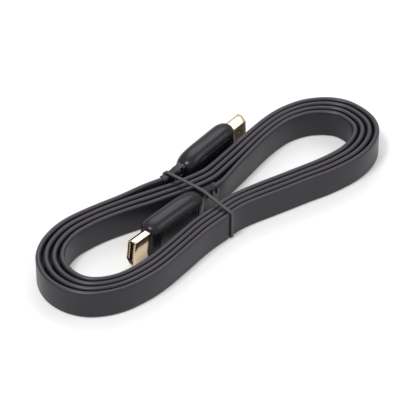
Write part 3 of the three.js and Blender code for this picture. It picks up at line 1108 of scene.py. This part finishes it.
@dataclass
class CableHank:
    """The flat cable: four turns on edge, each one step outside the last, from plug to plug."""

    width: float = 13.5 * MM
    thick: float = 2.2 * MM
    corner: float = 1.0 * MM
    turns: int = 4
    step: float = 0.8 * MM
    notch_high: float = 1.27 * MM
    notch_half: float = 1.3 * MM
    notch_fade: float = 0.7 * MM
    plug_reach: float = 24 * MM
    inside_relief: float = 2.5 * MM

    # First turn of the middle line with the step outward to the next turn: x, y, step.
    # It starts beside plug A at the back of the waist and goes round the right loop first.
    first_turn: tuple[Point, ...] = (
        (0.0, -0.00045, 0.00305), (0.0065, 0.0009, 0.00295), (0.0135, 0.0040, 0.0028),
        (0.0255, 0.0098, 0.00265), (0.0368, 0.0155, 0.0024), (0.0461, 0.0192, 0.0024),
        (0.0523, 0.0207, 0.00245), (0.0577, 0.0208, 0.0026), (0.0629, 0.0199, 0.0028),
        (0.0689, 0.0170, 0.0030), (0.0726, 0.0136, 0.00305), (0.0745, 0.0084, 0.0031),
        (0.0749, 0.0036, 0.0031), (0.0732, -0.0002, 0.0031), (0.0693, -0.0039, 0.0030),
        (0.0635, -0.0069, 0.00285), (0.0566, -0.0085, 0.00275), (0.0486, -0.0093, 0.0027),
        (0.0405, -0.0095, 0.0026), (0.0305, -0.0097, 0.0026), (0.0206, -0.0098, 0.0026),
        (0.0115, -0.0102, 0.0025), (0.0032, -0.0112, 0.00245), (-0.0049, -0.0137, 0.00245),
        (-0.0155, -0.0169, 0.00245), (-0.0287, -0.0224, 0.00245), (-0.0403, -0.0270, 0.0025),
        (-0.0465, -0.0288, 0.00255), (-0.0528, -0.0300, 0.00255), (-0.0579, -0.0304, 0.0026),
        (-0.0623, -0.0299, 0.0027), (-0.0665, -0.0286, 0.0028), (-0.0704, -0.0263, 0.00295),
        (-0.0734, -0.0221, 0.0032), (-0.0748, -0.0162, 0.0034), (-0.0740, -0.0099, 0.00335),
        (-0.0711, -0.0052, 0.0032), (-0.0664, -0.0014, 0.00305), (-0.0616, 0.0009, 0.00295),
        (-0.0562, 0.0021, 0.0029), (-0.0508, 0.0029, 0.0028), (-0.0458, 0.0032, 0.0028),
        (-0.0411, 0.0032, 0.00285), (-0.0330, 0.0029, 0.0030), (-0.0264, 0.0024, 0.00315),
        (-0.0195, 0.0023, 0.00305), (-0.0120, 0.0022, 0.00293), (0.0, 0.0026, 0.00305))

    def _curve(self, along: float) -> Vector:
        """Return the first turn's x, y and step at a share of its length, on a smooth curve."""
        points = [Vector(p) for p in self.first_turn]
        last = len(points) - 1
        at = min(max(along, 0.0), 1.0) * last
        index = min(int(at), last - 1)
        share = at - index
        p1, p2 = points[index], points[index + 1]
        p0 = points[index - 1] if index > 0 else p1 * 2 - p2
        p3 = points[index + 2] if index + 2 <= last else p2 * 2 - p1
        gaps = [math.sqrt((b - a).length) for a, b in ((p0, p1), (p1, p2), (p2, p3))]
        first = ((p1 - p0) / gaps[0] - (p2 - p0) / (gaps[0] + gaps[1])
                 + (p2 - p1) / gaps[1]) * gaps[1]
        second = ((p2 - p1) / gaps[1] - (p3 - p1) / (gaps[1] + gaps[2])
                  + (p3 - p2) / gaps[2]) * gaps[1]
        return (p1 + first * share + (-3 * p1 + 3 * p2 - 2 * first - second) * share ** 2
                + (2 * p1 - 2 * p2 + first + second) * share ** 3)

    def _turn_point(self, turn: int, along: float) -> Vector:
        """Return a point of a turn in plan, in the frame of the route's points."""
        here = self._curve(along)
        ahead = self._curve(along + 1e-4) - self._curve(along - 1e-4)
        heading = Vector((ahead.x, ahead.y, 0)).normalized()
        if along < 0.01 or along > 0.99:
            heading = Vector((1, 0.06, 0)).normalized()
        out = Vector((-heading.y, heading.x, 0))
        return Vector((here.x, here.y, 0)) + out * (turn * here.z)

    def _plan(self, start: Vector, stop: Vector) -> list[Vector]:
        """Return the whole route in plan, from one relief's end to the other's."""
        route: list[Vector] = []
        fine = 900
        for turn in range(self.turns):
            for i in range(fine):
                along = i / fine
                point = self._turn_point(turn, along) + PART_SHIFT
                if turn == 0 and along < 0.1 and point.x < start.x:
                    continue
                if turn == self.turns - 1 and along > 0.9 and point.x > stop.x:
                    continue
                if not route or (point - route[-1]).length > 0.1 * MM:
                    route.append(point)
        return route

    def middle_line(self, plug_a: PlugAssembly,
                    plug_b: PlugAssembly) -> tuple[list[Vector], list[Vector]]:
        """Lay out the cable's middle line.

        Args:
            plug_a: the plug that the cable starts at.
            plug_b: the plug that it ends at.

        Returns:
            The line's points, an even step apart, and the direction of the width at each.
        """
        (start, away_a, up_a), (stop, away_b, up_b) = plug_a.cable_end(), plug_b.cable_end()
        plan = self._plan(start, stop)
        lengths = [0.0]
        for before, after in zip(plan, plan[1:]):
            lengths.append(lengths[-1] + (after - before).length)
        total = lengths[-1]
        flat = Vector((1, 1, 0))
        miss_a = (start - plan[0]) * flat
        miss_b = (stop - plan[-1]) * flat
        line: list[Vector] = []
        rest = self.width / 2 + 0.03 * MM
        for point, at in zip(plan, lengths):
            near_a = 1 - eased(at / self.plug_reach)
            near_b = 1 - eased((total - at) / self.plug_reach)
            high = rest + (start.z - rest) * near_a + (stop.z - rest) * near_b
            line.append(point + miss_a * near_a + miss_b * near_b + Vector((0, 0, high)))
        line.insert(0, start - away_a * self.inside_relief)
        line.append(stop - away_b * self.inside_relief)
        line = self._evened(line)
        up = Vector((0, 0, 1))
        across: list[Vector] = []
        for i in range(len(line)):
            at = i * self.step
            near_a = 1 - eased(at / self.plug_reach)
            near_b = 1 - eased(((len(line) - 1) * self.step - at) / self.plug_reach)
            across.append((up + (up_a - up) * near_a + (up_b - up) * near_b).normalized())
        return line, across

    def _evened(self, line: list[Vector]) -> list[Vector]:
        """Return a line through the same places with points an even step apart, smoothed."""
        lengths = [0.0]
        for before, after in zip(line, line[1:]):
            lengths.append(lengths[-1] + (after - before).length)
        count = round(lengths[-1] / self.step)
        even: list[Vector] = []
        index = 0
        for i in range(count + 1):
            at = lengths[-1] * i / count
            while index < len(lengths) - 2 and lengths[index + 1] < at:
                index += 1
            share = (at - lengths[index]) / max(lengths[index + 1] - lengths[index], 1e-9)
            even.append(line[index].lerp(line[index + 1], share))
        for _ in range(3):
            even = [even[0], *((a + b * 2 + c) / 4
                               for a, b, c in zip(even, even[1:], even[2:])), even[-1]]
        return even

    def _make_room(self, mesh: bpy.types.Mesh, tie: TieLoop) -> None:
        """Press the lower edges of the turns up a little where the tie passes under them."""
        for vertex in mesh.vertices:
            near = 1 - eased((tie.distance(vertex.co) - self.notch_half) / self.notch_fade)
            if vertex.co.z < self.notch_high * near:
                vertex.co.z = self.notch_high * near

    def build(self, bands: GeometryRecipe, plug_a: PlugAssembly, plug_b: PlugAssembly,
              tie: TieLoop, finishes: Finishes) -> bpy.types.Object:
        """Args:
            bands: the recipe of a flat band along a line.
            plug_a: the plug that the cable starts at.
            plug_b: the plug that it ends at.
            tie: the tie that it passes over.
            finishes: the part's materials.

        Returns:
            The piece.
        """
        line, across = self.middle_line(plug_a, plug_b)
        mesh = bands.made_from(line_mesh(line, across, False), finishes.jacket, {
            "Width": self.width, "Thickness": self.thick, "Corner": self.corner,
            "Corner Steps": 6})
        map_band(mesh, line, across)
        self._make_room(mesh, tie)
        piece = piece_of("flat_cable", mesh, finishes.jacket)
        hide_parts("cable_hank")
        length = sum((b - a).length for a, b in zip(line, line[1:]))
        LOG.info("cable length %.3f m", length)
        return piece


@dataclass
class Studio:
    """Plain pale floor, soft light and the camera at the photo's angle."""

    target: Point = (0.000386, 0.003835, 0.00045)
    azimuth: float = -29.4
    elevation: float = 41.7
    distance: float = 1.2
    lens: float = 244.6
    floor_half: float = 3.0
    sky: float = 0.66

    def back(self, azimuth: float, elevation: float) -> Vector:
        """Return the direction from the part to something at an azimuth and elevation."""
        a, e = math.radians(azimuth), math.radians(elevation)
        return Vector((math.sin(a) * math.cos(e), -math.cos(a) * math.cos(e), math.sin(e)))

    def camera(self) -> None:
        """Place the camera."""
        data = bpy.data.cameras.new("camera")
        data.lens = self.lens
        data.sensor_width = 36.0
        data.clip_start = 0.01
        camera = bpy.data.objects.new("camera", data)
        bpy.context.scene.collection.objects.link(camera)
        back = self.back(self.azimuth, self.elevation)
        camera.location = Vector(self.target) + back * self.distance
        camera.rotation_euler = back.to_track_quat("Z", "Y").to_euler()
        bpy.context.scene.camera = camera

    def lamp(self, name: str, azimuth: float, elevation: float, distance: float, size: float,
             power: float) -> None:
        """Hang a square soft light that looks at the part."""
        data = bpy.data.lights.new(name, "AREA")
        data.size = size
        data.energy = power
        lamp = bpy.data.objects.new(name, data)
        bpy.context.scene.collection.objects.link(lamp)
        back = self.back(azimuth, elevation)
        lamp.location = Vector(self.target) + back * distance
        lamp.rotation_euler = back.to_track_quat("Z", "Y").to_euler()

    def build(self) -> None:
        """Lay the floor and light the scene."""
        half = self.floor_half
        floor = bpy.data.objects.new("floor", mesh_of(
            "floor", [(-half, -half, 0), (half, -half, 0), (half, half, 0), (-half, half, 0)],
            [(0, 1, 2, 3)]))
        floor.data.materials.append(FloorFinish().build())
        bpy.context.scene.collection.objects.link(floor)
        world = bpy.data.worlds.new("studio")
        world.use_nodes = True
        world.node_tree.nodes["Background"].inputs["Color"].default_value = (1, 1, 1, 1)
        world.node_tree.nodes["Background"].inputs["Strength"].default_value = self.sky
        bpy.context.scene.world = world
        bpy.context.scene.view_settings.view_transform = "Standard"
        self.lamp("key", -75, 68, 1.1, 0.25, 7.0)
        self.lamp("fill", 60, 45, 1.3, 0.7, 3.0)
        self.lamp("back", 150, 52, 1.2, 0.7, 3.8)


def main() -> None:
    """Build the studio and the cable in order, and report each piece."""
    logging.basicConfig(level=logging.INFO, format="%(name)s: %(message)s")
    studio = Studio()
    studio.camera()
    finishes = Finishes()
    bands, rows = band_recipe(), row_recipe()
    shape = PlugShape()
    plug_a = PlugAssembly(
        PlugPlace(Letter.A, -7.4 * MM, -4.86 * MM, 198, -6, 3, 2.3 * MM), shape, finishes)
    plug_b = PlugAssembly(
        PlugPlace(Letter.B, -4.25 * MM, 14.05 * MM, 21.9, -2.6, -21, 1.5 * MM), shape, finishes)
    tie = TieLoop()
    plug_a.build(rows)
    plug_b.build(rows)
    CableHank().build(bands, plug_a, plug_b, tie, finishes)
    tie.build(bands, finishes)
    studio.build()


if __name__ == "__main__":
    main()
